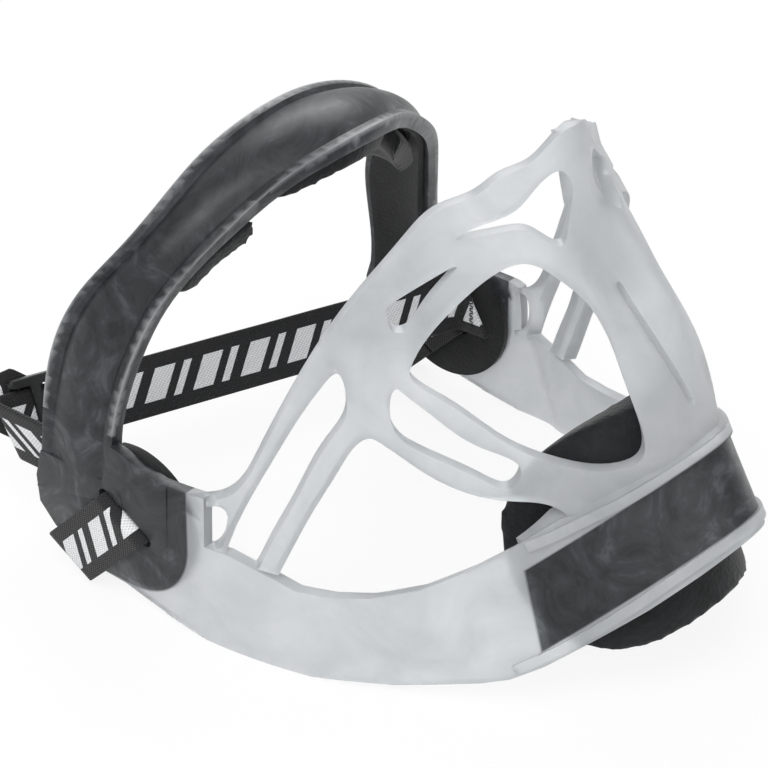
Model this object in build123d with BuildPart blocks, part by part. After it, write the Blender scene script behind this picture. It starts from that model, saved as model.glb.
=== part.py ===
from build123d import *
import math
import os

os.makedirs("parts", exist_ok=True)

# Softball face guard, lying on its jaw edge as it does on a table.
# X runs from the wearer's right ear to the left, -Y is where the chin points, +Z is up.
# The point midway between the two strap slots is the datum that every outline is measured from.

# Size of the guard
half_width = 83
nose_reach = 100
nose_rise = 100
ear_height = 31
ear_setback = 38.23

# Moulding
jaw_wall = 3.6
cage_wall = 4
band_wall = 3.6
shelf_wall = 3
bead_width = 3
bead_height = 1.3
band_crown = 3
slit_half_width = 1.3
nose_bar_half_width = 5
slot_back = 5.5
slot_angle = 31.7
slot_length = 23
slot_gap = 4

# Webbing strap with its slider
webbing_width = 20
webbing_thickness = 1.6
loop_angle = -45
loop_reach = 33
loop_clearance = 0.8
loop_corner = 3
near_leg_length = 63
run_bend = 2.5
run_angle = -24.5
run_rise = 4
run_climb = 1.5
run_lean = 60
far_leg_length = 12
slider_length = 16
slider_bar = 3.5
slider_rail = 3
slider_height = 2
slider_corner = 1
slider_clearance = 0.5
slider_past_bend = 5
tail_length = 24
tail_root = 6
tail_point = 9
tail_angle = -40
tack_width = 1.5
tack_length = 12
tack_spacing = 4
tack_start = 4
tack_count = 4
tack_height = 0.5

# Foam and what holds it
seat_gap = 0.3
liner_thickness = 2.5
liner_margin = 3.5
lobe_radius = 23.5
pad_clearance = 0.6
pad_thickness = 7
pad_margin = 5
side_pad_thickness = 9
side_pad_margin = 1.5
pad_edge_share = 0.55
hook_thickness = 1.2
hook_margin = 8
chin_pad_radius = 32
chin_pad_height = 34
chin_pad_thickness = 12

# One overrun for every cut, longer than the guard
overrun = 220

ear_point = (0, ear_setback, ear_height)
side_view = Plane(origin=ear_point, x_dir=(0, 1, 0), z_dir=(1, 0, 0))
front_view = Plane(origin=ear_point, x_dir=(1, 0, 0), z_dir=(0, -1, 0))
cheek_view = Plane(origin=ear_point, x_dir=(1, -1, 0), z_dir=(-1, -1, 0))

# Jaw plan, right ear to chin, at the height of the lower bead's tip: half width, distance back, lean
prow_rise_share = 0.18
jaw_shares = [(1, 0, 0.36), (0.973, -0.25, 0.36), (0.873, -0.56, 0.37), (0.675, -0.93, 0.40),
              (0.398, -1.303, 0.49), (0.20, -1.487, 0.57), (0, -1.59, 0.60)]
jaw_section_shares = [-0.6, 0.8]

# Cage surface: for each height, how far back it lies at eight half widths
cage_half_shares = [0.995, 0.97, 0.86, 0.69, 0.50, 0.32, 0.17, 0]
cage_shares = [
    (-0.10, [-0.22, -0.36, -0.69, -1.00, -1.25, -1.41, -1.49, -1.53]),
    (0.25, [-0.095, -0.235, -0.56, -0.875, -1.145, -1.31, -1.40, -1.435]),
    (0.47, [-0.016, -0.156, -0.483, -0.796, -1.065, -1.24, -1.34, -1.385]),
    (0.62, [0.038, -0.102, -0.43, -0.745, -1.01, -1.185, -1.265, -1.27]),
    (0.80, [0.10, -0.04, -0.365, -0.68, -0.90, -1.045, -1.13, -1.10]),
    (1.00, [0.18, 0.04, -0.28, -0.56, -0.74, -0.875, -0.965, -0.98]),
    (1.27, [0.27, 0.13, -0.17, -0.40, -0.57, -0.715, -0.845, -0.91]),
]

# Forehead band, right ear to crown: front edge and rear edge as half width, back and up
band_front_shares = [(1, 0.06, 0.04), (0.988, 0.092, 0.15), (0.955, 0.108, 0.27), (0.90, 0.092, 0.415),
                     (0.83, 0.05, 0.575), (0.745, 0, 0.70), (0.60, -0.065, 0.82), (0.41, -0.12, 0.925),
                     (0.21, -0.185, 1.0), (0, -0.22, 1.03)]
band_rear_shares = [(1, 0.43, -0.04), (0.988, 0.40, 0.10), (0.964, 0.392, 0.26), (0.922, 0.378, 0.41),
                    (0.873, 0.343, 0.55), (0.795, 0.245, 0.705), (0.675, 0.165, 0.835), (0.46, 0.142, 0.95),
                    (0.23, 0.13, 1.015), (0, 0.12, 1.04)]
band_sections = 18
fade_start_share = 0.1
fade_rate_share = 6
side_pad_shares = (0.235, 0.355)
centre_pad_shares = (0.39, 0.61)
pad_sections = 4

# Side outlines, as distance back and up
plate_shares = [(-0.10, -0.285), (0.075, -0.247), (0.244, -0.238), (0.366, -0.159), (0.425, -0.094),
                (0.43, 0.0), (0.40, 0.10), (0.14, 0.10), (0.095, 0.235), (0.05, 0.225), (-0.03, 0.20),
                (-0.124, 0.185)]
jaw_side_shares = [(-0.09, -0.285), (-0.25, -0.31), (-0.60, -0.31), (-0.84, -0.275), (-1.064, -0.226),
                   (-1.138, -0.201), (-1.217, -0.149), (-1.332, -0.049), (-1.428, 0.036), (-1.512, 0.121),
                   (-1.60, 0.22), (-1.52, 0.54), (-1.43, 0.457), (-1.391, 0.419), (-1.349, 0.383), (-1.308, 0.35),
                   (-1.263, 0.32), (-1.216, 0.295), (-1.18, 0.285), (-1.074, 0.182), (-0.994, 0.116),
                   (-0.877, 0.038), (-0.748, -0.014), (-0.643, -0.034), (-0.539, -0.038), (-0.481, -0.018),
                   (-0.425, -0.004), (-0.323, 0.022), (-0.25, 0.02), (-0.25, 0.185), (-0.124, 0.185),
                   (-0.09, 0.185)]
top_bead_shares = [(-1.125, 0.208), (-1.177, 0.24), (-1.216, 0.27), (-1.263, 0.303), (-1.308, 0.334),
                   (-1.349, 0.366), (-1.391, 0.402), (-1.43, 0.44), (-1.52, 0.53)]
low_bead_shares = [(-1.15, -0.165), (-1.245, -0.093), (-1.327, -0.02), (-1.402, 0.055), (-1.462, 0.12),
                   (-1.513, 0.171), (-1.60, 0.26)]
chin_hook_shares = [(-1.29, 0.245), (-1.36, 0.03), (-1.428, 0.075), (-1.512, 0.16), (-1.60, 0.25),
                    (-1.45, 0.40), (-1.391, 0.36), (-1.349, 0.325), (-1.308, 0.295)]

# Front outlines, as half width and up
shelf_shares = [(0.52, 0.20), (0.437, 0.285), (0.378, 0.318), (0.316, 0.349), (0.246, 0.381), (0.148, 0.417),
                (0.065, 0.442), (0, 0.45)]
cage_foot_shares = [(0.56, 0.12), (0.65, 0.07), (0.74, 0.0), (0.82, -0.05), (0.90, -0.08), (1.1, -0.04),
                    (1.1, 1.4), (0, 1.4)]
slit_shares = (0.526, 0.821)
nose_bar_shares = (0.88, 1.235)

# Outlines on the cheek view: along the cheek and up
cage_rim_shares = [(-0.388, 0.18), (-0.301, 0.24), (-0.238, 0.358), (-0.095, 0.658), (0.053, 0.887), (0.172, 1.006),
                   (0.26, 1.073), (0.367, 1.113), (0.427, 1.146), (0.511, 1.169), (0.56, 1.205), (0.60, 1.235),
                   (0.645, 1.245)]
rim_end_share = 1.4
ear_window_shares = [(-0.45, 0.125), (-0.335, 0.165), (-0.397, 0.012)]
rear_window_shares = [(-0.341, 0.02), (-0.285, 0.18), (-0.18, 0.40), (-0.06, 0.61), (-0.018, 0.652), (0.002, 0.60),
                      (0.0, 0.53), (-0.05, 0.44), (-0.144, 0.244), (-0.227, 0.06), (-0.30, -0.03)]
jaw_window_shares = [(-0.205, -0.02), (-0.098, 0.223), (-0.013, 0.386), (0.031, 0.455), (0.063, 0.474),
                     (0.092, 0.463), (0.225, 0.379), (0.42, 0.329), (0.559, 0.308), (0.585, 0.285),
                     (0.50, 0.20), (0.323, 0.09), (0.10, -0.06), (-0.10, -0.12)]
lower_cheek_window_shares = [(0.144, 0.622), (0.224, 0.561), (0.357, 0.477), (0.46, 0.412), (0.433, 0.367),
                             (0.356, 0.385), (0.184, 0.456), (0.119, 0.53)]
eye_window_shares = [(0.172, 0.689), (0.228, 0.786), (0.30, 0.853), (0.40, 0.912), (0.499, 0.932),
                     (0.59, 0.885), (0.642, 0.844), (0.716, 0.724), (0.762, 0.594), (0.784, 0.43), (0.70, 0.408),
                     (0.585, 0.428), (0.423, 0.492), (0.259, 0.601)]
temple_window_shares = [(0.113, 0.84), (0.205, 0.903), (0.305, 0.938), (0.257, 0.895), (0.202, 0.834),
                        (0.15, 0.785), (0.125, 0.79)]
nose_window_shares = [(0.315, 1.01), (0.376, 1.032), (0.476, 1.063), (0.532, 1.106), (0.608, 1.137), (0.637, 1.09),
                      (0.63, 1.03), (0.60, 0.963), (0.528, 0.998), (0.436, 1.012)]
cheek_windows = [ear_window_shares, rear_window_shares, jaw_window_shares, lower_cheek_window_shares,
                 eye_window_shares, temple_window_shares, nose_window_shares]

# Chin pad plan, a blunt U: half width and distance back
chin_pad_shares = [(0.48, -0.81), (0.475, -0.99), (0.425, -1.14), (0.34, -1.265), (0.24, -1.345), (0.12, -1.40),
                   (0, -1.42)]
chin_pad_lean_share = 0.50
chin_pad_back_share = -1.30
chin_pad_up_share = 0.20
lobe_back_share = 0.04
lobe_up_share = -0.01


def side_points(shares):
    return [(back * nose_reach, up * nose_rise) for back, up in shares]


def front_points(shares, side):
    return [(side * half * half_width, up * nose_rise) for half, up in shares]


def whole_plan(right):
    """Right-hand plan points, ending on the middle plane, followed by their mirror images."""
    return right + [(-x, y) for x, y in reversed(right[:-1])]


def moved_in(points, inset):
    """Plan points, right side to left, moved in along their normals."""
    moved = []
    for before, point, after in zip(points[:1] + points[:-1], points, points[1:] + points[-1:]):
        along = Vector(after) - Vector(before)
        inward = Vector(-along.Y, along.X).normalized()
        moved.append(Vector(point) + inward * inset)
    return moved


def jaw_solid(inset):
    """The space inside the jaw's surface, moved in by an inset, with flat sides behind the ears."""
    with BuildPart() as solid:
        for share in jaw_section_shares:
            rise = (share - prow_rise_share) * nose_rise
            right = [(-half * half_width, back * nose_reach + lean * rise) for half, back, lean in jaw_shares]
            curve = moved_in(whole_plan(right), inset)
            end = half_width - inset
            ear = right[0][1]
            with BuildSketch(Plane(origin=(0, ear_setback, ear_height + share * nose_rise))):
                with BuildLine():
                    front = Spline([(-end, ear)] + curve[1:-1] + [(end, ear)], tangents=[(0, -1), (0, 1)])
                    Polyline(front @ 1, (end, nose_reach), (-end, nose_reach), front @ 0)
                make_face()
        loft()
    return solid.part


def cage_solid(inset):
    """The space behind the cage's surface, moved in by an inset, lofted through its plan sections."""
    with BuildPart() as solid:
        for share, backs in cage_shares:
            right = [(-half * half_width, back * nose_reach) for half, back in zip(cage_half_shares, backs)]
            with BuildSketch(Plane(origin=(0, ear_setback, ear_height + share * nose_rise))):
                with BuildLine():
                    curve = Spline(moved_in(whole_plan(right), inset))
                    Line(curve @ 1, curve @ 0)
                make_face()
        loft()
    return solid.part


def pad_solid(inset):
    """The space inside the chin pad's surface, moved in by an inset."""
    with BuildPart() as solid:
        for share in jaw_section_shares:
            rise = (share - prow_rise_share) * nose_rise * chin_pad_lean_share
            right = [(-half * half_width, back * nose_reach + rise) for half, back in chin_pad_shares]
            with BuildSketch(Plane(origin=(0, ear_setback, ear_height + share * nose_rise))):
                with BuildLine():
                    curve = Spline(moved_in(whole_plan(right), inset))
                    Line(curve @ 1, curve @ 0)
                make_face()
        loft()
    return solid.part


def band_points(shares):
    """The points of one edge of the band, right ear to left."""
    right = [(-half * half_width, ear_setback + back * nose_reach, ear_height + up * nose_rise)
             for half, back, up in shares]
    return right + [(-x, y, z) for x, y, z in reversed(right[:-1])]


with BuildLine() as band_front:
    Spline(band_points(band_front_shares))
with BuildLine() as band_rear:
    Spline(band_points(band_rear_shares))


def band_section(share):
    """A plane across the band, X from front edge to rear edge and Y outward, with the width and crown."""
    front = band_front.wire() @ share
    rear = band_rear.wire() @ share
    chord = rear - front
    along = band_front.wire() % share + band_rear.wire() % share
    outward = along.cross(chord)
    fade = min(1, fade_start_share + fade_rate_share * min(share, 1 - share))
    return Plane(origin=front, x_dir=chord, z_dir=chord.cross(outward)), chord.length, fade


def band_layer(shares, margin, depth, thicknesses):
    """A strip under the band's face, from a depth down by a thickness at each share of the arch."""
    with BuildPart() as layer:
        for share, thickness in zip(shares, thicknesses):
            plane, width, fade = band_section(share)
            crown = band_crown * fade
            middle = width / 2
            near = margin
            far = width - margin
            drop = crown * (1 - near / middle) ** 2
            with BuildSketch(plane):
                with BuildLine():
                    top = ThreePointArc((near, crown - drop - depth), (middle, crown - depth),
                                        (far, crown - drop - depth))
                    low = ThreePointArc((far, crown - drop - depth - thickness), (middle, crown - depth - thickness),
                                        (near, crown - drop - depth - thickness))
                    Line(top @ 1, low @ 0)
                    Line(low @ 1, top @ 0)
                make_face()
        loft()
    return layer.part


def even_shares(first, last, count):
    return [first + (last - first) * index / count for index in range(count + 1)]


jaw_outer = jaw_solid(0)
jaw_inner = jaw_solid(jaw_wall)
cage_outer = cage_solid(0)
cage_inner = cage_solid(cage_wall)

# Forehead band with a raised bead along each edge; bead and crown fade out towards the ears
with BuildPart() as forehead_band:
    for share in even_shares(0, 1, band_sections):
        plane, width, fade = band_section(share)
        bead = bead_height * fade
        crown = band_crown * fade
        middle = width / 2
        foot = bead_width + bead_height
        with BuildSketch(plane):
            with BuildLine():
                Polyline((0, -band_wall), (0, bead), (bead_width, bead), (foot, 0))
                ThreePointArc((foot, 0), (middle, crown), (width - foot, 0))
                Polyline((width - foot, 0), (width - bead_width, bead), (width, bead), (width, -band_wall))
                ThreePointArc((width, -band_wall), (middle, crown - band_wall), (0, -band_wall))
            make_face()
    loft()

# Flat ear plates
with BuildPart() as ear_plates:
    with BuildSketch(side_view.offset(half_width - jaw_wall)):
        with BuildLine():
            Polyline(side_points(plate_shares), close=True)
        make_face()
    extrude(amount=jaw_wall)
    mirror(about=Plane.YZ)

# Jaw strip and chin band
with BuildPart() as jaw_strip:
    add(jaw_outer)
    add(jaw_inner, mode=Mode.SUBTRACT)
    with BuildSketch(side_view):
        with BuildLine():
            Polyline(side_points(jaw_side_shares), close=True)
        make_face()
    extrude(amount=overrun, both=True, mode=Mode.INTERSECT)

# Right half of the cage, cut by its rim, its foot and its windows
with BuildPart() as half_cage:
    add(cage_outer)
    add(cage_inner, mode=Mode.SUBTRACT)
    with BuildSketch(cheek_view.offset(-half_width)):
        with BuildLine():
            rim = Spline(side_points(cage_rim_shares))
            rim_end = nose_reach * rim_end_share
            Polyline(rim @ 1, (rim_end, (rim @ 1).Y), (rim_end, 0), ((rim @ 0).X, 0), rim @ 0)
        make_face()
    extrude(amount=overrun, mode=Mode.INTERSECT)
    with BuildSketch(front_view):
        with BuildLine():
            foot = [(half, up - shelf_wall / nose_rise) for half, up in reversed(shelf_shares)]
            Polyline(front_points(foot + cage_foot_shares, -1), close=True)
        make_face()
    extrude(amount=overrun, mode=Mode.INTERSECT)
    for window_shares in cheek_windows:
        with BuildSketch(cheek_view):
            with BuildLine():
                Spline(side_points(window_shares), periodic=True)
            make_face()
        extrude(amount=overrun, mode=Mode.SUBTRACT)

# Nose bar down the middle of the cage
with BuildPart() as nose_bar:
    add(cage_outer)
    add(cage_inner, mode=Mode.SUBTRACT)
    with BuildSketch(front_view):
        bar_low, bar_high = [share * nose_rise for share in nose_bar_shares]
        with Locations((0, (bar_low + bar_high) / 2)):
            Rectangle(2 * nose_bar_half_width, bar_high - bar_low)
    extrude(amount=overrun, mode=Mode.INTERSECT)

# Shelf between the chin band's top edge and the feet of the centre bars
with BuildPart() as shelf:
    with BuildSketch(front_view.offset(nose_reach)):
        with BuildLine():
            edge = front_points(shelf_shares, -1)
            edge = edge + front_points(reversed(shelf_shares[:-1]), 1)
            Polyline(edge + [(x, z - shelf_wall) for x, z in reversed(edge)], close=True)
        make_face()
    extrude(amount=overrun)
    add(jaw_outer, mode=Mode.INTERSECT)
    add(cage_inner, mode=Mode.SUBTRACT)

# Raised beads along the chin band
with BuildPart() as chin_beads:
    add(jaw_solid(-bead_height))
    add(jaw_inner, mode=Mode.SUBTRACT)
    with BuildSketch(side_view):
        for bead_shares in (top_bead_shares, low_bead_shares):
            with BuildLine():
                path = Polyline(side_points(bead_shares))
            trace(path, line_width=bead_width)
    extrude(amount=overrun, both=True, mode=Mode.INTERSECT)

# The whole moulding, with the slit between the centre bars and the two strap slots
with BuildPart() as face_frame:
    add(half_cage.part)
    mirror(about=Plane.YZ)
    add(nose_bar.part)
    add(shelf.part)
    add(jaw_strip.part)
    add(chin_beads.part)
    add(ear_plates.part)
    add(forehead_band.part)
    with BuildSketch(front_view):
        slit_low, slit_high = [share * nose_rise for share in slit_shares]
        with Locations((0, (slit_low + slit_high) / 2)):
            SlotOverall(slit_high - slit_low, 2 * slit_half_width, rotation=90)
    extrude(amount=overrun, mode=Mode.SUBTRACT)
    with BuildSketch(side_view):
        with Locations((slot_back, 0)):
            SlotOverall(slot_length, slot_gap, rotation=slot_angle)
    extrude(amount=overrun, both=True, mode=Mode.SUBTRACT)
face_frame.part.label = "face_frame"
export_step(face_frame.part, "parts/face_frame.step")

# Dark liner under the forehead band, ending in a round lobe inside each ear plate
liner_depth = band_wall + seat_gap
liner_shares = even_shares(0, 1, band_sections)
liner_count = len(liner_shares)
liner_clearance = band_crown + liner_depth + liner_thickness / 2
with BuildPart() as liner_lobes:
    with BuildSketch(side_view.offset(half_width - jaw_wall - seat_gap)):
        with Locations((lobe_back_share * nose_reach, lobe_up_share * nose_rise)):
            Circle(lobe_radius)
    extrude(amount=-liner_thickness)
    mirror(about=Plane.YZ)
    add(jaw_solid(jaw_wall + seat_gap), mode=Mode.INTERSECT)
    add(band_layer(liner_shares, -seat_gap, -band_crown, [liner_clearance] * liner_count), mode=Mode.SUBTRACT)
with BuildPart() as forehead_liner:
    add(band_layer(liner_shares, liner_margin, liner_depth, [liner_thickness] * liner_count))
    add(liner_lobes.part)
    with BuildSketch(Plane(origin=ear_point)):
        Rectangle(2 * (half_width - jaw_wall - seat_gap), overrun)
    extrude(amount=overrun, both=True, mode=Mode.INTERSECT)
    with BuildSketch(side_view):
        with Locations((slot_back, 0)):
            SlotOverall(slot_length, slot_gap, rotation=slot_angle)
    extrude(amount=overrun, both=True, mode=Mode.SUBTRACT)
forehead_liner.part.label = "forehead_liner"
export_step(forehead_liner.part, "parts/forehead_liner.step")

# Hook patches on the liner and the foam pads that stick to them
hook_depth = liner_depth + liner_thickness + seat_gap
pad_depth = hook_depth + hook_thickness + pad_clearance
side_hook_shares = even_shares(side_pad_shares[0], side_pad_shares[1], pad_sections)
centre_hook_shares = even_shares(centre_pad_shares[0], centre_pad_shares[1], 2 * pad_sections)


def pad_profile(thickness, count):
    """Pad thickness along its length: lower at both ends."""
    return [thickness * pad_edge_share] + [thickness] * (count - 2) + [thickness * pad_edge_share]


with BuildPart() as forehead_hook_centre:
    add(band_layer(centre_hook_shares[1:-1], hook_margin, hook_depth,
                   [hook_thickness] * (len(centre_hook_shares) - 2)))
forehead_hook_centre.part.label = "forehead_hook_centre"
export_step(forehead_hook_centre.part, "parts/forehead_hook_centre.step")

with BuildPart() as forehead_pad_centre:
    add(band_layer(centre_hook_shares, pad_margin, pad_depth, pad_profile(pad_thickness, len(centre_hook_shares))))
forehead_pad_centre.part.label = "forehead_pad_centre"
export_step(forehead_pad_centre.part, "parts/forehead_pad_centre.step")

with BuildPart() as forehead_hook_right:
    add(band_layer(side_hook_shares[1:-1], hook_margin, hook_depth, [hook_thickness] * (len(side_hook_shares) - 2)))
forehead_hook_right.part.label = "forehead_hook_right"
export_step(forehead_hook_right.part, "parts/forehead_hook_right.step")

with BuildPart() as forehead_pad_right:
    add(band_layer(side_hook_shares, side_pad_margin, pad_depth,
                   pad_profile(side_pad_thickness, len(side_hook_shares))))
forehead_pad_right.part.label = "forehead_pad_right"
export_step(forehead_pad_right.part, "parts/forehead_pad_right.step")

with BuildPart() as forehead_hook_left:
    add(mirror(forehead_hook_right.part, about=Plane.YZ, mode=Mode.PRIVATE))
forehead_hook_left.part.label = "forehead_hook_left"
export_step(forehead_hook_left.part, "parts/forehead_hook_left.step")

with BuildPart() as forehead_pad_left:
    add(mirror(forehead_pad_right.part, about=Plane.YZ, mode=Mode.PRIVATE))
forehead_pad_left.part.label = "forehead_pad_left"
export_step(forehead_pad_left.part, "parts/forehead_pad_left.step")

# Chin hook patch inside the chin band
with BuildPart() as chin_hook_patch:
    add(jaw_solid(jaw_wall + seat_gap))
    add(jaw_solid(jaw_wall + seat_gap + hook_thickness), mode=Mode.SUBTRACT)
    with BuildSketch(side_view):
        with BuildLine():
            Polyline(side_points(chin_hook_shares), close=True)
        make_face()
    extrude(amount=overrun, both=True, mode=Mode.INTERSECT)
chin_hook_patch.part.label = "chin_hook_patch"
export_step(chin_hook_patch.part, "parts/chin_hook_patch.step")

# Chin pad, a thick oval of foam bent round the chin
with BuildPart() as chin_pad:
    add(pad_solid(0))
    add(pad_solid(chin_pad_thickness), mode=Mode.SUBTRACT)
    with BuildSketch(side_view):
        with Locations((chin_pad_back_share * nose_reach, chin_pad_up_share * nose_rise)):
            Ellipse(chin_pad_radius, chin_pad_height)
    extrude(amount=overrun, both=True, mode=Mode.INTERSECT)
chin_pad.part.label = "chin_pad"
export_step(chin_pad.part, "parts/chin_pad.step")

# Strap loops: each passes through its slot and back round the ear plate's lower edge
slot_along = Vector(0, math.cos(math.radians(slot_angle)), math.sin(math.radians(slot_angle)))
loop_along = Vector(0, math.cos(math.radians(loop_angle)), math.sin(math.radians(loop_angle)))
slot_centre = Vector(0, ear_setback + slot_back, ear_height)
loop_outside = half_width + loop_clearance + webbing_thickness
liner_inside = half_width - jaw_wall - seat_gap - liner_thickness
loop_inside = liner_inside - loop_clearance - webbing_thickness
loop_across = loop_outside - loop_inside
loop_length = loop_reach + 2 * webbing_thickness
loop_plane = Plane(origin=slot_centre - slot_along * (webbing_width / 2), x_dir=(1, 0, 0),
                   z_dir=Vector(1, 0, 0).cross(loop_along))
with BuildPart() as strap_left_loop:
    with BuildSketch(loop_plane):
        with Locations(((loop_outside + loop_inside) / 2, (loop_length - webbing_thickness) / 2)):
            RectangleRounded(loop_across, loop_length, loop_corner)
            RectangleRounded(loop_across - 2 * webbing_thickness, loop_length - 2 * webbing_thickness,
                             loop_corner - webbing_thickness, mode=Mode.SUBTRACT)
    extrude(amount=webbing_width, dir=slot_along)
strap_left_loop.part.label = "strap_left_loop"
export_step(strap_left_loop.part, "parts/strap_left_loop.step")

with BuildPart() as strap_right_loop:
    add(mirror(strap_left_loop.part, about=Plane.YZ, mode=Mode.PRIVATE))
strap_right_loop.part.label = "strap_right_loop"
export_step(strap_right_loop.part, "parts/strap_right_loop.step")

# Back run of the strap: drawn in plan and extruded along the webbing's lean
climb_along = Vector(math.cos(math.radians(run_climb)), 0, math.sin(math.radians(run_climb)))
lean_along = Vector(0, math.cos(math.radians(run_lean)), math.sin(math.radians(run_lean)))
run_plan = Plane(origin=slot_centre + Vector(0, 0, run_rise), x_dir=climb_along,
                 z_dir=climb_along.cross(Vector(0, 1, 0)))
leg_x = loop_inside - seat_gap - webbing_thickness / 2
leg_end = Vector(-leg_x, near_leg_length)
run_turn = Vector(math.cos(math.radians(run_angle)), math.sin(math.radians(run_angle)))
run_end = leg_end + run_turn * (2 * leg_x / run_turn.X)
with BuildPart() as strap_back_run:
    with BuildSketch(Plane(origin=run_plan.origin - lean_along * (webbing_width / 2), x_dir=run_plan.x_dir,
                           z_dir=run_plan.z_dir)):
        with BuildLine():
            path = FilletPolyline((-leg_x, 0), leg_end, run_end, (leg_x, run_end.Y - far_leg_length),
                                  radius=run_bend)
        trace(path, line_width=webbing_thickness)
    extrude(amount=webbing_width, dir=lean_along)
strap_back_run.part.label = "strap_back_run"
export_step(strap_back_run.part, "parts/strap_back_run.step")

# Slider on the back run: two rails past the webbing's edges, two bars behind it and one in front
slider_at = leg_end + run_turn * (slider_past_bend + slider_length / 2)
run_along = run_plan.from_local_coords(slider_at) - run_plan.from_local_coords(leg_end)
slider_plane = Plane(origin=run_plan.from_local_coords(slider_at), x_dir=run_along,
                     z_dir=run_along.cross(lean_along))
slider_half_height = webbing_thickness / 2 + slider_clearance + slider_height
slider_span = webbing_width + 2 * slider_clearance + 2 * slider_rail
with BuildPart() as strap_slider:
    with BuildSketch(slider_plane.offset(-slider_half_height)):
        with GridLocations(0, slider_span - slider_rail, 1, 2):
            RectangleRounded(slider_length, slider_rail, slider_corner)
    extrude(amount=2 * slider_half_height)
    with BuildSketch(slider_plane.offset(-slider_half_height)):
        with GridLocations(slider_length - slider_bar, 0, 2, 1):
            Rectangle(slider_bar, slider_span - slider_rail)
    extrude(amount=slider_height)
    with BuildSketch(slider_plane.offset(slider_half_height - slider_height)):
        Rectangle(slider_bar, slider_span - slider_rail)
    extrude(amount=slider_height)
strap_slider.part.label = "strap_slider"
export_step(strap_slider.part, "parts/strap_slider.step")

# Free tail of the webbing, lying on the back of the slider with its point upward
tail_along = slider_plane.x_dir * math.cos(math.radians(tail_angle)) + slider_plane.y_dir * math.sin(
    math.radians(tail_angle))
tail_plane = Plane(origin=slider_plane.offset(-slider_half_height - seat_gap).origin, x_dir=tail_along,
                   z_dir=slider_plane.z_dir)
with BuildPart() as strap_tail:
    with BuildSketch(tail_plane):
        with BuildLine():
            Polyline((tail_root, -webbing_width / 2), (tail_root, webbing_width / 2),
                     (tail_point - tail_length, webbing_width / 2), (-tail_length, 0),
                     (tail_point - tail_length, -webbing_width / 2), close=True)
        make_face()
    extrude(amount=-webbing_thickness)
strap_tail.part.label = "strap_tail"
export_step(strap_tail.part, "parts/strap_tail.step")

# Stitching that sews the back run to each loop
tack_x = leg_x - webbing_thickness / 2
with BuildPart() as stitching_right:
    with BuildSketch(Plane(origin=run_plan.from_local_coords(Vector(-tack_x, tack_start)), x_dir=(0, 1, 0),
                           z_dir=(1, 0, 0))):
        with GridLocations(tack_spacing, 0, tack_count, 1, align=(Align.MIN, Align.CENTER)):
            Rectangle(tack_width, tack_length)
    extrude(amount=tack_height)
stitching_right.part.label = "stitching_right"
export_step(stitching_right.part, "parts/stitching_right.step")

with BuildPart() as stitching_left:
    with BuildSketch(Plane(origin=run_plan.from_local_coords(Vector(tack_x, run_end.Y - far_leg_length + tack_width)),
                           x_dir=(0, 1, 0), z_dir=(1, 0, 0))):
        with GridLocations(tack_spacing, 0, 2, 1, align=(Align.MIN, Align.CENTER)):
            Rectangle(tack_width, tack_length)
    extrude(amount=-tack_height)
stitching_left.part.label = "stitching_left"
export_step(stitching_left.part, "parts/stitching_left.step")
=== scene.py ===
import bpy
import math
from mathutils import Matrix, Vector
from mathutils.bvhtree import BVHTree


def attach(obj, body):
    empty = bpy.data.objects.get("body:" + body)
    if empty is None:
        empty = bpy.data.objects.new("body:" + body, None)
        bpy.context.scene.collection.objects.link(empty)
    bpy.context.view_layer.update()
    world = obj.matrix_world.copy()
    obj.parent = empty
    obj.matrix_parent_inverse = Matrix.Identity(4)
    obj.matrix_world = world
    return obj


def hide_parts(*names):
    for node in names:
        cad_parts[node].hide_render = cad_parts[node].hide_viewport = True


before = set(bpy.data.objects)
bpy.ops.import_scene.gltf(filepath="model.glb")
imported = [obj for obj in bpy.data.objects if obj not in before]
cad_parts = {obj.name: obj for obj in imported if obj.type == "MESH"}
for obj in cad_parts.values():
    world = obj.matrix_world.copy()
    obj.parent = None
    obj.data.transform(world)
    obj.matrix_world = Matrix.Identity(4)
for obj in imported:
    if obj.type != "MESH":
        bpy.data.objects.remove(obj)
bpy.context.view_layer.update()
print("frame loaded:", len(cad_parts), "nodes")

mm = 0.001
datum = Vector((0, 38.23, 31)) * mm    # midway between the strap slots
slotBack = 5.5 * mm                    # from there to the slots' centre
merging = 0.002 * mm                   # points of a CAD mesh nearer than this become one
smoothUnder = 50                       # degrees between faces that are shaded as one surface


# small helpers

def hexColour(text):
    channels = [int(text[i:i + 2], 16) / 255 for i in (1, 3, 5)]
    return [c / 12.92 if c <= 0.04045 else ((c + 0.055) / 1.055) ** 2.4 for c in channels] + [1]


def addNode(tree, kind, inputs=(), **settings):
    # inputs by name or number, or just in order; another node's socket is linked, and any other value is set
    node = tree.nodes.new(kind)
    for name, value in settings.items():
        setattr(node, name, value)
    for name, value in inputs.items() if isinstance(inputs, dict) else enumerate(inputs):
        if isinstance(value, bpy.types.NodeSocket):
            tree.links.new(value, node.inputs[name])
        else:
            node.inputs[name].default_value = value
    return node


def newMaterial(name):
    material = bpy.data.materials.new(name)
    material.use_nodes = True
    tree = material.node_tree
    return material, tree, tree.nodes["Principled BSDF"]


def selectOnly(piece):
    bpy.ops.object.select_all(action="DESELECT")
    piece.select_set(True)
    bpy.context.view_layer.objects.active = piece


def applyModifiers(piece):
    selectOnly(piece)
    for modifier in list(piece.modifiers):
        bpy.ops.object.modifier_apply(modifier=modifier.name)


def mergeDoubles(piece, distance):
    selectOnly(piece)
    bpy.ops.object.mode_set(mode="EDIT")
    bpy.ops.mesh.select_all(action="SELECT")
    bpy.ops.mesh.remove_doubles(threshold=distance)
    bpy.ops.object.mode_set(mode="OBJECT")


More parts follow.
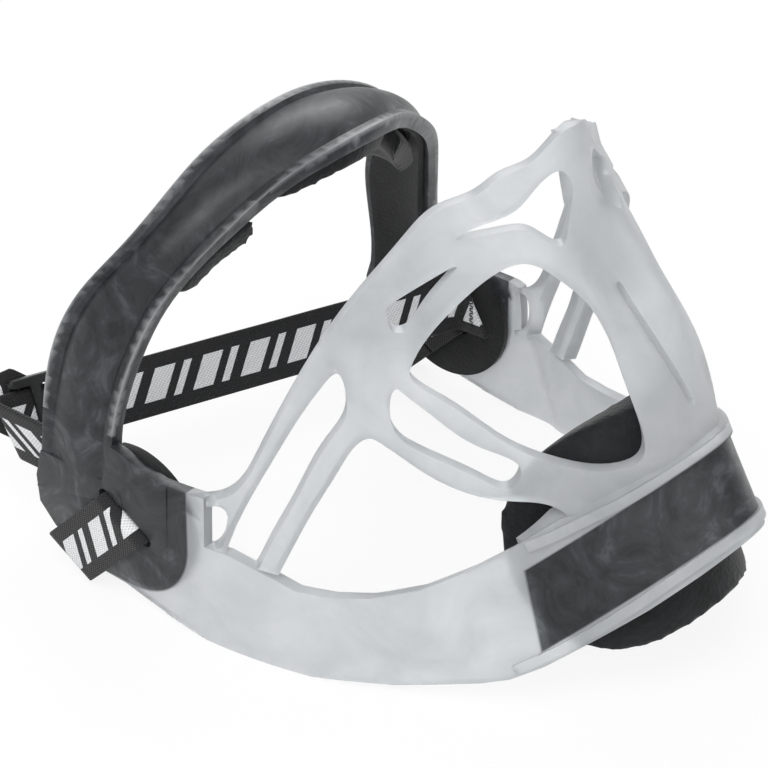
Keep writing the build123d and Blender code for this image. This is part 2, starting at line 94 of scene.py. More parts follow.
def dress(piece, material, body, slot, *nodes):
    piece.data.materials.clear()
    piece.data.materials.append(material)
    selectOnly(piece)
    bpy.ops.object.shade_smooth_by_angle(angle=math.radians(smoothUnder))
    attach(piece, body)
    if nodes:
        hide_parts(*nodes)


def copyOfNode(node, name):
    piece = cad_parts[node].copy()
    piece.data = piece.data.copy()
    for key in list(piece.keys()):
        if key.startswith("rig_"):
            del piece[key]
    piece.parent = None
    piece.name = name
    piece.data.name = name
    bpy.context.scene.collection.objects.link(piece)
    mergeDoubles(piece, merging)
    return piece


# camera, where the photograph was taken from

view = {"place": (-428.4, -362.0, 350.9), "right": (0.616, -0.788, 0), "up": (0.411, 0.321, 0.854),
        "lens": 96.2, "sensor": 36, "farthest": 20}

right = Vector(view["right"]).normalized()
up = Vector(view["up"])
up = (up - right * up.dot(right)).normalized()
back = right.cross(up)
cameraData = bpy.data.cameras.new("camera")
cameraData.lens = view["lens"]
cameraData.sensor_width = view["sensor"]
cameraData.clip_end = view["farthest"]
camera = bpy.data.objects.new("camera", cameraData)
bpy.context.scene.collection.objects.link(camera)
camera.matrix_world = Matrix((right, up, back)).transposed().to_4x4()
camera.location = datum + Vector(view["place"]) * mm
bpy.context.scene.camera = camera
print("camera placed")


# materials

# where foam or tape lies behind the plastic: the liner's round ear lobes, and the patch in the chin band between
# its slanted rear end and the two raised beads
backing = {"lobeBack": 42.23 * mm, "lobeUp": 30 * mm, "lobeRadius": 23.5 * mm, "side": 60 * mm, "top": 56 * mm,
           "rear": -88.2 * mm, "rearSlant": -0.325, "upperBead": -26.6 * mm, "upperSlant": -0.96,
           "lowerBead": -60.5 * mm, "lowerSlant": -0.98, "blur": 0.8 * mm}

plastic = {"milk": ("#cdd1d4", "#e6e8ea"), "milkStops": (0.3, 0.7), "cloudScale": 40,
           "smoke": ("#2f3235", "#45494d", "#74797e"), "smokeStops": (0.38, 0.55, 0.72), "smearScale": 55,
           "satin": 0.3, "matt": 0.48, "grainScale": 900, "grainDepth": 0.2 * mm,
           "clearness": 0.6, "scatter": 0.25, "scatterDepth": 4 * mm, "ior": 1.45}


def frostedPolycarbonate():
    # injection-moulded clear polycarbonate with an etched surface: milky where light comes through it, and dark
    # and cloudy wherever foam or tape lies against its back
    material, tree, shader = newMaterial("frostedPolycarbonate")
    place = addNode(tree, "ShaderNodeTexCoord").outputs["Object"]
    axes = addNode(tree, "ShaderNodeSeparateXYZ", {"Vector": place})
    x, y, z = axes.outputs["X"], axes.outputs["Y"], axes.outputs["Z"]
    band = addNode(tree, "ShaderNodeAttribute", attribute_name="backed").outputs["Fac"]

    # the lobe's round lower front corner; behind and above it the foam runs on
    ahead = addNode(tree, "ShaderNodeMath", (y, backing["lobeBack"]), operation="SUBTRACT").outputs[0]
    ahead = addNode(tree, "ShaderNodeMath", (ahead, 0), operation="MINIMUM").outputs[0]
    below = addNode(tree, "ShaderNodeMath", (z, backing["lobeUp"]), operation="SUBTRACT").outputs[0]
    below = addNode(tree, "ShaderNodeMath", (below, 0), operation="MINIMUM").outputs[0]
    aheadSquared = addNode(tree, "ShaderNodeMath", (ahead, ahead), operation="MULTIPLY").outputs[0]
    belowSquared = addNode(tree, "ShaderNodeMath", (below, below), operation="MULTIPLY").outputs[0]
    fromLobe = addNode(tree, "ShaderNodeMath", (aheadSquared, belowSquared), operation="ADD").outputs[0]
    fromLobe = addNode(tree, "ShaderNodeMath", (fromLobe,), operation="SQRT").outputs[0]
    lobe = addNode(tree, "ShaderNodeMath", (backing["lobeRadius"], fromLobe), operation="SUBTRACT").outputs[0]
    lobe = addNode(tree, "ShaderNodeMath", (lobe, backing["blur"]), operation="DIVIDE", use_clamp=True).outputs[0]
    outward = addNode(tree, "ShaderNodeMath", (x,), operation="ABSOLUTE").outputs[0]
    onPlate = addNode(tree, "ShaderNodeMath", (outward, backing["side"]), operation="GREATER_THAN").outputs[0]
    lobe = addNode(tree, "ShaderNodeMath", (lobe, onPlate), operation="MULTIPLY").outputs[0]
    underTop = addNode(tree, "ShaderNodeMath", (z, backing["top"]), operation="LESS_THAN").outputs[0]
    lobe = addNode(tree, "ShaderNodeMath", (lobe, underTop), operation="MULTIPLY").outputs[0]

    # the patch inside the chin band: ahead of its slanted rear end, and between the two raised beads
    rear = addNode(tree, "ShaderNodeMath", (z, backing["rearSlant"]), operation="MULTIPLY").outputs[0]
    rear = addNode(tree, "ShaderNodeMath", (y, rear), operation="ADD").outputs[0]
    rear = addNode(tree, "ShaderNodeMath", (backing["rear"], rear), operation="SUBTRACT").outputs[0]
    top = addNode(tree, "ShaderNodeMath", (y, backing["upperSlant"], backing["upperBead"]),
                  operation="MULTIPLY_ADD").outputs[0]
    top = addNode(tree, "ShaderNodeMath", (top, z), operation="SUBTRACT").outputs[0]
    low = addNode(tree, "ShaderNodeMath", (y, backing["lowerSlant"], backing["lowerBead"]),
                  operation="MULTIPLY_ADD").outputs[0]
    low = addNode(tree, "ShaderNodeMath", (z, low), operation="SUBTRACT").outputs[0]
    chin = addNode(tree, "ShaderNodeMath", (rear, top), operation="MINIMUM").outputs[0]
    chin = addNode(tree, "ShaderNodeMath", (chin, low), operation="MINIMUM").outputs[0]
    chin = addNode(tree, "ShaderNodeMath", (chin, backing["blur"]), operation="DIVIDE", use_clamp=True).outputs[0]
    backed = addNode(tree, "ShaderNodeMath", (band, lobe), operation="MAXIMUM").outputs[0]
    backed = addNode(tree, "ShaderNodeMath", (backed, chin), operation="MAXIMUM").outputs[0]

    cloud = addNode(tree, "ShaderNodeTexNoise", {"Vector": place, "Scale": plastic["cloudScale"], "Detail": 5,
                                                 "Roughness": 0.6, "Distortion": 0.8})
    milk = addNode(tree, "ShaderNodeValToRGB", {"Fac": cloud.outputs["Fac"]})
    for stop, position, colour in zip(milk.color_ramp.elements, plastic["milkStops"], plastic["milk"]):
        stop.position, stop.color = position, hexColour(colour)
    smear = addNode(tree, "ShaderNodeTexNoise", {"Vector": place, "Scale": plastic["smearScale"], "Detail": 6,
                                                 "Roughness": 0.65, "Distortion": 2.2})
    smoke = addNode(tree, "ShaderNodeValToRGB", {"Fac": smear.outputs["Fac"]})
    smoke.color_ramp.elements.new(plastic["smokeStops"][1])
    for stop, position, colour in zip(smoke.color_ramp.elements, plastic["smokeStops"], plastic["smoke"]):
        stop.position, stop.color = position, hexColour(colour)
    mix = addNode(tree, "ShaderNodeMix", {0: backed, 6: milk.outputs["Color"], 7: smoke.outputs["Color"]},
                  data_type="RGBA")
    tree.links.new(mix.outputs[2], shader.inputs["Base Color"])
    frost = addNode(tree, "ShaderNodeMapRange", {"Value": cloud.outputs["Fac"], "From Min": plastic["milkStops"][0],
                                                 "From Max": plastic["milkStops"][1], "To Min": plastic["satin"],
                                                 "To Max": plastic["matt"]})
    tree.links.new(frost.outputs["Result"], shader.inputs["Roughness"])
    grain = addNode(tree, "ShaderNodeTexNoise", {"Vector": place, "Scale": plastic["grainScale"], "Detail": 2})
    bump = addNode(tree, "ShaderNodeBump", {"Height": grain.outputs["Fac"], "Strength": 0.1,
                                            "Distance": plastic["grainDepth"]})
    tree.links.new(bump.outputs["Normal"], shader.inputs["Normal"])
    shader.inputs["Transmission Weight"].default_value = plastic["clearness"]
    shader.inputs["Subsurface Weight"].default_value = plastic["scatter"]
    shader.inputs["Subsurface Radius"].default_value = (1, 1, 1)
    shader.inputs["Subsurface Scale"].default_value = plastic["scatterDepth"]
    shader.inputs["IOR"].default_value = plastic["ior"]
    return material


foam = {"shadow": "#0d0e0f", "stops": (0.3, 0.75), "napScale": 120, "roughness": 0.92, "sheen": 0.25,
        "sheenSpread": 0.5, "specular": 0.3}


def facedFoam(name, colour, poreScale, poreDepth):
    # closed-cell foam with a brushed nylon face: matt black, with a fine nap that catches light at grazing angles
    material, tree, shader = newMaterial(name)
    place = addNode(tree, "ShaderNodeTexCoord").outputs["Object"]
    pores = addNode(tree, "ShaderNodeTexVoronoi", {"Vector": place, "Scale": poreScale})
    nap = addNode(tree, "ShaderNodeTexNoise", {"Vector": place, "Scale": foam["napScale"], "Detail": 6,
                                               "Roughness": 0.7})
    tone = addNode(tree, "ShaderNodeValToRGB", {"Fac": nap.outputs["Fac"]})
    for stop, position, shade in zip(tone.color_ramp.elements, foam["stops"], (foam["shadow"], colour)):
        stop.position, stop.color = position, hexColour(shade)
    tree.links.new(tone.outputs["Color"], shader.inputs["Base Color"])
    bump = addNode(tree, "ShaderNodeBump", {"Height": pores.outputs["Distance"], "Strength": 0.6,
                                            "Distance": poreDepth})
    tree.links.new(bump.outputs["Normal"], shader.inputs["Normal"])
    shader.inputs["Roughness"].default_value = foam["roughness"]
    shader.inputs["Sheen Weight"].default_value = foam["sheen"]
    shader.inputs["Sheen Roughness"].default_value = foam["sheenSpread"]
    shader.inputs["Specular IOR Level"].default_value = foam["specular"]
    return material


def hookTape():
    # moulded nylon hook tape: rows of tiny hooks, drawn 1 mm apart so that they show, with painted shade in the
    # hollows between them
    material, tree, shader = newMaterial("hookTape")
    place = addNode(tree, "ShaderNodeTexCoord").outputs["Object"]
    rows = addNode(tree, "ShaderNodeTexVoronoi", {"Vector": place, "Scale": 1000, "Randomness": 0.25})
    # the colour follows the bump's height, darker where it is low: painted shade between the hooks
    tone = addNode(tree, "ShaderNodeMapRange", {"Value": rows.outputs["Distance"], "To Min": 0.012, "To Max": 0.035})
    tree.links.new(tone.outputs["Result"], shader.inputs["Base Color"])
    bump = addNode(tree, "ShaderNodeBump", {"Height": rows.outputs["Distance"], "Strength": 0.8,
                                            "Distance": 0.4 * mm})
    tree.links.new(bump.outputs["Normal"], shader.inputs["Normal"])
    shader.inputs["Roughness"].default_value = 0.7
    return material


# each yarn colour is a pair: a painted-shade tone for the weave's dips and a painted-light tone for its crests
knit = {"warp": 1.1 * mm, "weft": 1.3 * mm, "slant": 0.8, "repeat": 17 * mm, "block": 0.42, "stripeAt": 0.68,
        "stripeHalf": 0.08, "middle": 10 * mm, "patternHalf": 5.2 * mm, "dark": ("#0c0c0e", "#1f2023"),
        "pale": ("#c3c5c8", "#f4f5f6"), "threadDepth": 0.25 * mm, "roughness": 0.8, "sheen": 0.15}


def wovenElastic():
    # knitted elastic webbing with a pattern of slanted blocks; threads drawn over 1 mm apart so that they show, with
    # painted shade between them and painted light on them
    material, tree, shader = newMaterial("wovenElastic")
    uv = addNode(tree, "ShaderNodeTexCoord").outputs["UV"]
    axes = addNode(tree, "ShaderNodeSeparateXYZ", {"Vector": uv})
    along, across = axes.outputs["X"], axes.outputs["Y"]

    warp = addNode(tree, "ShaderNodeMath", (across, 2 * math.pi / knit["warp"]), operation="MULTIPLY").outputs[0]
    warp = addNode(tree, "ShaderNodeMath", (warp,), operation="SINE").outputs[0]
    weft = addNode(tree, "ShaderNodeMath", (along, 2 * math.pi / knit["weft"]), operation="MULTIPLY").outputs[0]
    weft = addNode(tree, "ShaderNodeMath", (weft,), operation="SINE").outputs[0]
    weave = addNode(tree, "ShaderNodeMath", (warp, weft), operation="MULTIPLY").outputs[0]

    # one wide block and one thin stripe in each repeat, kept off the webbing's two edges
    slanted = addNode(tree, "ShaderNodeMath", (across, knit["slant"]), operation="MULTIPLY").outputs[0]
    slanted = addNode(tree, "ShaderNodeMath", (along, slanted), operation="SUBTRACT").outputs[0]
    repeats = addNode(tree, "ShaderNodeMath", (slanted, knit["repeat"]), operation="DIVIDE").outputs[0]
    repeats = addNode(tree, "ShaderNodeMath", (repeats,), operation="FRACT").outputs[0]
    block = addNode(tree, "ShaderNodeMath", (repeats, knit["block"]), operation="LESS_THAN").outputs[0]
    stripe = addNode(tree, "ShaderNodeMath", (repeats, knit["stripeAt"]), operation="SUBTRACT").outputs[0]
    stripe = addNode(tree, "ShaderNodeMath", (stripe,), operation="ABSOLUTE").outputs[0]
    stripe = addNode(tree, "ShaderNodeMath", (stripe, knit["stripeHalf"]), operation="LESS_THAN").outputs[0]
    inner = addNode(tree, "ShaderNodeMath", (across, knit["middle"]), operation="SUBTRACT").outputs[0]
    inner = addNode(tree, "ShaderNodeMath", (inner,), operation="ABSOLUTE").outputs[0]
    inner = addNode(tree, "ShaderNodeMath", (inner, knit["patternHalf"]), operation="LESS_THAN").outputs[0]
    marks = addNode(tree, "ShaderNodeMath", (block, stripe), operation="MAXIMUM").outputs[0]
    marks = addNode(tree, "ShaderNodeMath", (marks, inner), operation="MULTIPLY").outputs[0]

    # both yarn colours follow the weave's height, darker in its dips and lighter on its crests: painted shade
    # between the threads and painted light on them
    shade = addNode(tree, "ShaderNodeMath", (weave, 0.5, 0.5), operation="MULTIPLY_ADD").outputs[0]
    dark = addNode(tree, "ShaderNodeValToRGB", {"Fac": shade})
    pale = addNode(tree, "ShaderNodeValToRGB", {"Fac": shade})
    for ramp, colours in ((dark, knit["dark"]), (pale, knit["pale"])):
        for stop, colour in zip(ramp.color_ramp.elements, colours):
            stop.color = hexColour(colour)
    mix = addNode(tree, "ShaderNodeMix", {0: marks, 6: dark.outputs["Color"], 7: pale.outputs["Color"]},
                  data_type="RGBA")
    tree.links.new(mix.outputs[2], shader.inputs["Base Color"])
    bump = addNode(tree, "ShaderNodeBump", {"Height": weave, "Strength": 0.5, "Distance": knit["threadDepth"]})
    tree.links.new(bump.outputs["Normal"], shader.inputs["Normal"])
    shader.inputs["Roughness"].default_value = knit["roughness"]
    shader.inputs["Sheen Weight"].default_value = knit["sheen"]
    return material


def mouldedAcetal():
    # injection-moulded black acetal with a light satin grain
    material, tree, shader = newMaterial("mouldedAcetal")
    place = addNode(tree, "ShaderNodeTexCoord").outputs["Object"]
    grain = addNode(tree, "ShaderNodeTexNoise", {"Vector": place, "Scale": 700, "Detail": 3})
    wear = addNode(tree, "ShaderNodeTexNoise", {"Vector": place, "Scale": 90, "Detail": 4})
    gloss = addNode(tree, "ShaderNodeMapRange", {"Value": wear.outputs["Fac"], "To Min": 0.28, "To Max": 0.5})
    tree.links.new(gloss.outputs["Result"], shader.inputs["Roughness"])
    bump = addNode(tree, "ShaderNodeBump", {"Height": grain.outputs["Fac"], "Strength": 0.15, "Distance": 0.1 * mm})
    tree.links.new(bump.outputs["Normal"], shader.inputs["Normal"])
    shader.inputs["Base Color"].default_value = hexColour("#121315")
    shader.inputs["IOR"].default_value = 1.48
    return material


def bondedThread():
    # bonded nylon thread, twisted: fine diagonal ply lines, with painted shade in the grooves between them
    material, tree, shader = newMaterial("bondedThread")
    place = addNode(tree, "ShaderNodeTexCoord").outputs["Object"]
    ply = addNode(tree, "ShaderNodeTexWave", {"Vector": place, "Scale": 500, "Distortion": 0.4},
                  bands_direction="DIAGONAL")
    # the colour follows the ply bump, darker where it is low: painted shade in the grooves
    tone = addNode(tree, "ShaderNodeMapRange", {"Value": ply.outputs["Fac"], "To Min": 0.01, "To Max": 0.03})
    tree.links.new(tone.outputs["Result"], shader.inputs["Base Color"])
    bump = addNode(tree, "ShaderNodeBump", {"Height": ply.outputs["Fac"], "Strength": 0.4, "Distance": 0.1 * mm})
    tree.links.new(bump.outputs["Normal"], shader.inputs["Normal"])
    shader.inputs["Roughness"].default_value = 0.55
    return material


frosted = frostedPolycarbonate()
padFoam = facedFoam("brushedNylonFoam", "#242528", 700, 0.25 * mm)
linerFoam = facedFoam("linerFoam", "#1c1d1f", 900, 0.15 * mm)
hooks = hookTape()
webbing = wovenElastic()
acetal = mouldedAcetal()
thread = bondedThread()
print("materials made")


# the moulded frame, with every edge rounded as the mould leaves it

shellSizes = {"edge": 0.7 * mm, "segments": 3, "angle": 38}


def edged(piece, sizes):
    edge = piece.modifiers.new("edge", "BEVEL")
    edge.width = sizes["edge"]
    edge.segments = sizes["segments"]
    edge.limit_method = "ANGLE"
    edge.angle_limit = math.radians(sizes["angle"])
    edge.miter_outer = "MITER_ARC"
    applyModifiers(piece)


def rounded(piece, sizes):
    remesh = piece.modifiers.new("remesh", "REMESH")
    remesh.mode = "VOXEL"
    remesh.voxel_size = sizes["voxel"]
    smooth = piece.modifiers.new("smooth", "SMOOTH")
    smooth.factor = sizes["smoothing"]
    smooth.iterations = sizes["rounds"]
    applyModifiers(piece)


# the part of the frame that the liner can lie behind, and the gaps at which it counts as backed and as bare
band = {"front": 5 * mm, "low": 43 * mm, "near": 4.5 * mm, "far": 5.3 * mm}


def markBacked(piece, lining):
    # how far each point of the band has foam behind it, so that the beads along its edges stay milky
    tree = BVHTree.FromPolygons([v.co for v in lining.data.vertices], [p.vertices for p in lining.data.polygons])
    attribute = piece.data.attributes.new("backed", "FLOAT", "POINT")
    for vertex, value in zip(piece.data.vertices, attribute.data):
        if vertex.co.y > band["front"] and vertex.co.z > band["low"]:
            gap = tree.find_nearest(vertex.co)[3]
            value.value = min(1, max(0, (band["far"] - gap) / (band["far"] - band["near"])))


shell = copyOfNode("face_frame", "frostedShell")
edged(shell, shellSizes)
liner = copyOfNode("forehead_liner", "foreheadLinerFoam")
markBacked(shell, liner)
dress(shell, frosted, "guard", "frosted_plastic", "face_frame")
print("shell", len(shell.data.polygons), "faces")


# liner and hook patches

linerSizes = {"edge": 0.6 * mm, "segments": 3, "angle": 50, "fill": 0.9}
patchSizes = {"edge": 0.25 * mm, "segments": 2, "angle": 50}

edged(liner, linerSizes)
dress(liner, linerFoam, "guard", "black_foam", "forehead_liner")
for node in ("forehead_hook_centre", "forehead_hook_right", "forehead_hook_left", "chin_hook_patch"):
    patch = copyOfNode(node, node + "_tape")
    edged(patch, patchSizes)
    dress(patch, hooks, "guard", "hook_tape", node)
print("liner and hook patches made")


# foam pads, blown up as cloth and held near their cut shape

padSizes = {"voxel": 1.5 * mm, "smoothing": 0.5, "rounds": 3, "shrink": 0.6 * mm, "fill": 0.8,
            "pressure": 4, "frames": 20, "cap": 1.6 * mm, "quality": 5, "mass": 0.3, "stretch": 25, "bending": 5}


def blowUp(piece, sizes):
    cut = [vertex.co.copy() for vertex in piece.data.vertices]
    cloth = piece.modifiers.new("cloth", "CLOTH")
    cloth.settings.quality = sizes["quality"]
    cloth.settings.mass = sizes["mass"]
    cloth.settings.tension_stiffness = sizes["stretch"]
    cloth.settings.compression_stiffness = sizes["stretch"]
    cloth.settings.bending_stiffness = sizes["bending"]
    cloth.settings.use_pressure = True
    cloth.settings.uniform_pressure_force = sizes["pressure"]
    cloth.settings.effector_weights.gravity = 0
    cloth.point_cache.frame_start = 1
    cloth.point_cache.frame_end = sizes["frames"]
    for number in range(1, sizes["frames"] + 1):
        bpy.context.scene.frame_set(number)
    applyModifiers(piece)
    for vertex, start in zip(piece.data.vertices, cut):
        move = vertex.co - start
        if move.length > sizes["cap"]:
            vertex.co = start + move.normalized() * sizes["cap"]
    bpy.context.scene.frame_set(1)


def makePad(node, name):
    pad = copyOfNode(node, name)
    rounded(pad, padSizes)
    selectOnly(pad)
    bpy.ops.object.mode_set(mode="EDIT")
    bpy.ops.mesh.select_all(action="SELECT")
    bpy.ops.transform.shrink_fatten(value=-padSizes["shrink"])
    bpy.ops.object.mode_set(mode="OBJECT")
    blowUp(pad, padSizes)
    divide = pad.modifiers.new("divide", "SUBSURF")
    divide.levels = divide.render_levels = 1
    applyModifiers(pad)
    dress(pad, padFoam, "guard", "black_foam", node)
    print(name, len(pad.data.polygons), "faces")


makePad("forehead_pad_centre", "foreheadPadCentre")
makePad("forehead_pad_right", "foreheadPadRight")
makePad("forehead_pad_left", "foreheadPadLeft")
makePad("chin_pad", "chinPad")


# webbing: a bent grid that gets its thickness and its soft edges from modifiers

web = {"width": 20 * mm, "thickness": 1.6 * mm, "step": 1.2 * mm, "fewest": 12, "rows": 10, "edge": 0.45 * mm,
       "segments": 2, "angle": 50, "cornerPoints": 8, "probe": 0.4 * mm, "nothing": 1e-9}


def filleted(corners, radius):
    # a line through corners in its own plane, each inner corner an arc of the radius
    line = [Vector(corners[0])]
    for before, corner, after in zip(corners, corners[1:], corners[2:]):
        before, corner, after = Vector(before), Vector(corner), Vector(after)
        enter, leave = (before - corner).normalized(), (after - corner).normalized()
        half = enter.angle(leave) / 2
        reach = radius / math.tan(half)
        centre = corner + (enter + leave).normalized() * (radius / math.sin(half))
        first, last = corner + enter * reach - centre, corner + leave * reach - centre
        turn = math.pi - 2 * half
        for index in range(web["cornerPoints"] + 1):
            share = index / web["cornerPoints"]
            point = (first * math.sin((1 - share) * turn) + last * math.sin(share * turn)) / math.sin(turn)
            line.append(centre + point)
    line.append(Vector(corners[-1]))
    return line


def ribbon(name, line, toSpace, across, halfWidth, wave=None):
    # a grid laid along the line, with U along it and V across it in metres
    lengths = [0]
    for first, second in zip(line, line[1:]):
        lengths.append(lengths[-1] + (second - first).length)
    total = lengths[-1]
    count = max(web["fewest"], int(total / web["step"]))
    bpy.ops.object.select_all(action="DESELECT")
    bpy.ops.mesh.primitive_grid_add(x_subdivisions=count, y_subdivisions=web["rows"], size=1, calc_uvs=True)
    piece = bpy.context.active_object
    piece.name = piece.data.name = name

    def at(distance):
        distance = min(max(distance, 0), total)
        for index in range(len(line) - 1):
            if distance <= lengths[index + 1] + web["nothing"]:
                span = lengths[index + 1] - lengths[index]
                share = (distance - lengths[index]) / span if span else 0
                return line[index].lerp(line[index + 1], share)
        return line[-1]

    for vertex in piece.data.vertices:
        distance = (vertex.co.x + 0.5) * total
        side = vertex.co.y * 2
        ahead = toSpace(at(distance + web["probe"])) - toSpace(at(distance - web["probe"]))
        face = ahead.cross(across).normalized()
        place = toSpace(at(distance)) + across * (side * halfWidth(distance / total))
        if wave:
            place += face * wave(distance / total, side)
        vertex.co = place
    for corner in piece.data.uv_layers.active.data:
        corner.uv = (corner.uv[0] * total, corner.uv[1] * web["width"])
    solid = piece.modifiers.new("thickness", "SOLIDIFY")
    solid.thickness = web["thickness"]
    solid.offset = 0
    solid.use_even_offset = True
    edge = piece.modifiers.new("edge", "BEVEL")
    edge.width = web["edge"]
    edge.segments = web["segments"]
    edge.limit_method = "ANGLE"
    edge.angle_limit = math.radians(web["angle"])
    applyModifiers(piece)
    return piece


def unit(angle):
    return Vector((0, math.cos(math.radians(angle)), math.sin(math.radians(angle))))


def fullWidth(share):
    return web["width"] / 2


# loops through the slots, and round the ear plates

slotCentre = datum + Vector((0, slotBack, 0))
loop = {"outer": 84.6 * mm, "inner": 75.0 * mm, "reach": 34.6 * mm, "corner": 2.2 * mm, "slotAngle": 31.7,
        "angle": -45, "joint": 0.25 * mm}
loopLine = filleted([(loop["inner"], loop["reach"] / 2 + loop["joint"]), (loop["inner"], loop["reach"]),
                     (loop["outer"], loop["reach"]), (loop["outer"], 0), (loop["inner"], 0),
                     (loop["inner"], loop["reach"] / 2 - loop["joint"])], loop["corner"])
for side, name, node in ((-1, "rightWebbingLoop", "strap_right_loop"), (1, "leftWebbingLoop", "strap_left_loop")):
    piece = ribbon(name, loopLine, lambda p: slotCentre + Vector((side * p.x, 0, 0)) + unit(loop["angle"]) * p.y,
                   unit(loop["slotAngle"]), fullWidth)
    dress(piece, webbing, "strap", "webbing", node)
print("loops made")


# the run behind the head, with a slight wave that grows after its middle and fades before its far end

run = {"leg": 73.1 * mm, "near": 63 * mm, "turn": -24.5, "far": 12 * mm, "bend": 2.5 * mm, "rise": 4 * mm,
       "climb": 1.5, "lean": 60, "wave": 0.35 * mm, "waveTurns": 40, "waveFrom": 0.5, "waveTo": 0.9,
       "fadeIn": 8, "fadeOut": 12, "lowEdge": 0.4, "highEdge": 0.6}
climb = Vector((math.cos(math.radians(run["climb"])), 0, math.sin(math.radians(run["climb"]))))
drop = 2 * run["leg"] * math.tan(math.radians(run["turn"]))
farEnd = run["near"] + drop - run["far"]
runLine = filleted([(-run["leg"], 0), (-run["leg"], run["near"]), (run["leg"], run["near"] + drop),
                    (run["leg"], farEnd)], run["bend"])


def runSpace(point):
    return slotCentre + Vector((0, 0, run["rise"])) + climb * point.x + Vector((0, point.y, 0))


def runWave(share, side):
    fade = max(0, min(1, (share - run["waveFrom"]) * run["fadeIn"], (run["waveTo"] - share) * run["fadeOut"]))
    return run["wave"] * fade * math.sin(share * run["waveTurns"]) * (run["lowEdge"] + run["highEdge"] * side)


backRun = ribbon("webbingBackRun", runLine, runSpace, unit(run["lean"]), fullWidth, runWave)
dress(backRun, webbing, "strap", "webbing", "strap_back_run")
print("back run made")


# slider, and the free tail that it holds

slider = {"past": 13 * mm, "halfHeight": 3.3 * mm, "gap": 0.3 * mm, "voxel": 0.45 * mm, "smoothing": 0.5,
          "rounds": 4}
tail = {"length": 24 * mm, "root": 6 * mm, "point": 9 * mm, "angle": -40, "trim": 0.6 * mm, "tip": 0.05}
nearCorner = Vector((-run["leg"], run["near"]))
turn = Vector((math.cos(math.radians(run["turn"])), math.sin(math.radians(run["turn"]))))
sliderAt = runSpace(nearCorner + turn * slider["past"])
alongRun = (sliderAt - runSpace(nearCorner)).normalized()
faceRun = alongRun.cross(unit(run["lean"])).normalized()
upRun = faceRun.cross(alongRun)
swing = math.radians(tail["angle"])
tailAlong = alongRun * math.cos(swing) + upRun * math.sin(swing)
tailAcross = faceRun.cross(tailAlong)
tailStart = sliderAt - faceRun * (slider["halfHeight"] + slider["gap"] + web["thickness"] / 2)
tailLine = [Vector((tail["root"], 0)), Vector((-tail["length"] + tail["trim"], 0))]
tailTotal = tail["root"] + tail["length"]


def tailWidth(share):
    return web["width"] / 2 * min(1, max(tail["tip"], (1 - share) * tailTotal / tail["point"]))


tailPiece = ribbon("webbingTail", tailLine, lambda p: tailStart + tailAlong * p.x, tailAcross, tailWidth)
dress(tailPiece, webbing, "slider", "webbing", "strap_tail")

sliderPiece = copyOfNode("strap_slider", "acetalSlider")
rounded(sliderPiece, slider)
dress(sliderPiece, acetal, "slider", "slider_plastic", "strap_slider")
print("slider and tail made")


# bar tacks: rows of slanted stitches on the webbing's inner face

tack = {"x": 72.05 * mm, "rightRows": 4, "rightStart": 4 * mm, "leftRows": 2, "leftStart": 1.5 * mm,
        "spacing": 4 * mm, "length": 12 * mm, "stitch": 1.5 * mm, "radius": 0.25 * mm, "pitch": 1.0 * mm,
        "slants": (110, 70), "sides": 8, "edge": 0.1 * mm}


def tacks(name, x, firstBack, rows, node):
    stitches = []
    for row in range(rows):
        for index in range(int(tack["length"] / tack["pitch"])):
            bpy.ops.object.select_all(action="DESELECT")
            height = (index + 0.5) * tack["pitch"] - tack["length"] / 2
            centre = runSpace(Vector((x, firstBack + row * tack["spacing"]))) + Vector((0, 0, height))
            slant = math.radians(tack["slants"][index % 2])
            bpy.ops.mesh.primitive_cylinder_add(vertices=tack["sides"], radius=tack["radius"], depth=tack["stitch"],
                                                location=centre, rotation=(slant, 0, 0))
            stitches.append(bpy.context.active_object)
    bpy.ops.object.select_all(action="DESELECT")
    for stitch in stitches:
        stitch.select_set(True)
    bpy.context.view_layer.objects.active = stitches[0]
    bpy.ops.object.join()
    piece = bpy.context.active_object
    piece.name = piece.data.name = name
    bpy.ops.object.transform_apply(location=True, rotation=True, scale=True)
    edge = piece.modifiers.new("edge", "BEVEL")
    edge.width = tack["edge"]
    edge.limit_method = "ANGLE"
    applyModifiers(piece)
    dress(piece, thread, "strap", "thread", node)


tacks("rightBarTacks", -tack["x"], tack["rightStart"], tack["rightRows"], "stitching_right")
tacks("leftBarTacks", tack["x"], farEnd + tack["leftStart"], tack["leftRows"], "stitching_left")
print("stitching made")


# floor, world and lamps: the floor and the world show white to the camera, and light the object no more for it

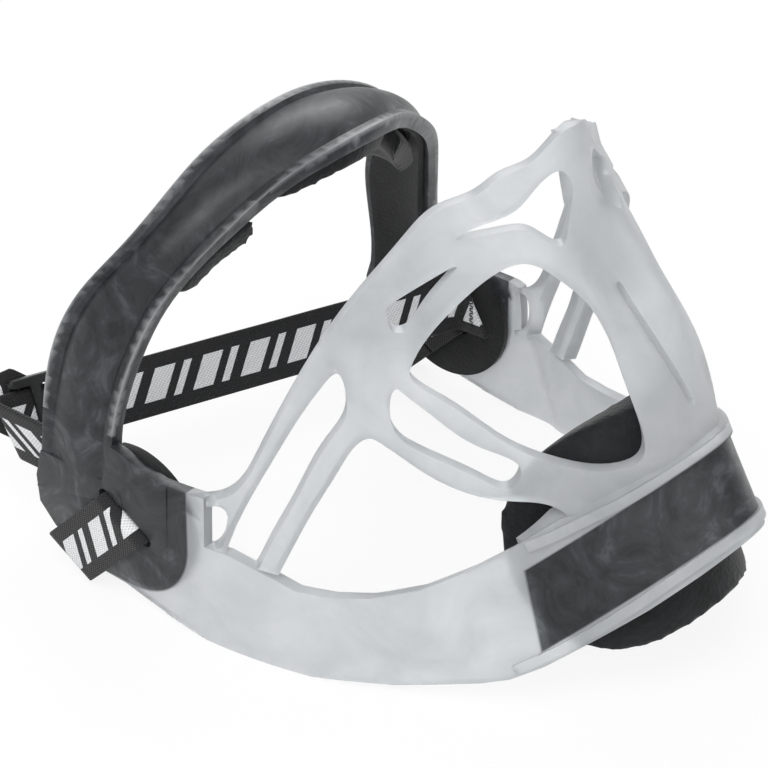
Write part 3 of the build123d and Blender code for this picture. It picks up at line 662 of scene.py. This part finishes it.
studio = {"floorSize": 6, "paper": "#f4f4f4", "roughness": 0.9, "whiteness": 0.86, "light": 0.55, "seen": 1.0,
          "aim": (0, 0, 0.06)}
lamps = (("keyLamp", (-0.7, -0.2, 1.1), 9, 0.8), ("fillLamp", (-0.5, -1.1, 0.6), 3.5, 0.9),
         ("rimLamp", (0.8, 0.7, 0.9), 6, 0.7))

bpy.ops.object.select_all(action="DESELECT")
bpy.ops.mesh.primitive_plane_add(size=studio["floorSize"], location=(0, 0, 0))
floor = bpy.context.active_object
floor.name = "paleFloor"
floorMaterial, tree, shader = newMaterial("palePaper")
shader.inputs["Base Color"].default_value = hexColour(studio["paper"])
shader.inputs["Roughness"].default_value = studio["roughness"]
path = addNode(tree, "ShaderNodeLightPath").outputs
seen = addNode(tree, "ShaderNodeMath", (path["Is Camera Ray"], path["Is Transmission Ray"]), operation="MAXIMUM")
seen = addNode(tree, "ShaderNodeMath", (seen.outputs[0], path["Is Glossy Ray"]), operation="MAXIMUM")
share = addNode(tree, "ShaderNodeMath", (seen.outputs[0], studio["whiteness"]), operation="MULTIPLY")
white = addNode(tree, "ShaderNodeEmission", {"Color": (1, 1, 1, 1), "Strength": 1})
mixed = addNode(tree, "ShaderNodeMixShader", (share.outputs[0], shader.outputs[0], white.outputs[0]))
tree.links.new(mixed.outputs[0], tree.nodes["Material Output"].inputs["Surface"])
floor.data.materials.append(floorMaterial)

world = bpy.data.worlds.new("studio")
bpy.context.scene.world = world
world.use_nodes = True
tree = world.node_tree
background = tree.nodes["Background"]
path = addNode(tree, "ShaderNodeLightPath").outputs
seen = addNode(tree, "ShaderNodeMath", (path["Is Camera Ray"], path["Is Transmission Ray"]), operation="MAXIMUM")
strength = addNode(tree, "ShaderNodeMapRange", {"Value": seen.outputs[0], "To Min": studio["light"],
                                                "To Max": studio["seen"]})
tree.links.new(strength.outputs["Result"], background.inputs["Strength"])
background.inputs["Color"].default_value = (1, 1, 1, 1)

for name, place, power, size in lamps:
    lampData = bpy.data.lights.new(name, "AREA")
    lampData.energy = power
    lampData.size = size
    lamp = bpy.data.objects.new(name, lampData)
    bpy.context.scene.collection.objects.link(lamp)
    lamp.location = place
    lamp.rotation_euler = (Vector(studio["aim"]) - Vector(place)).to_track_quat("-Z", "Y").to_euler()
print("studio made")

bpy.context.scene.view_settings.view_transform = "Standard"
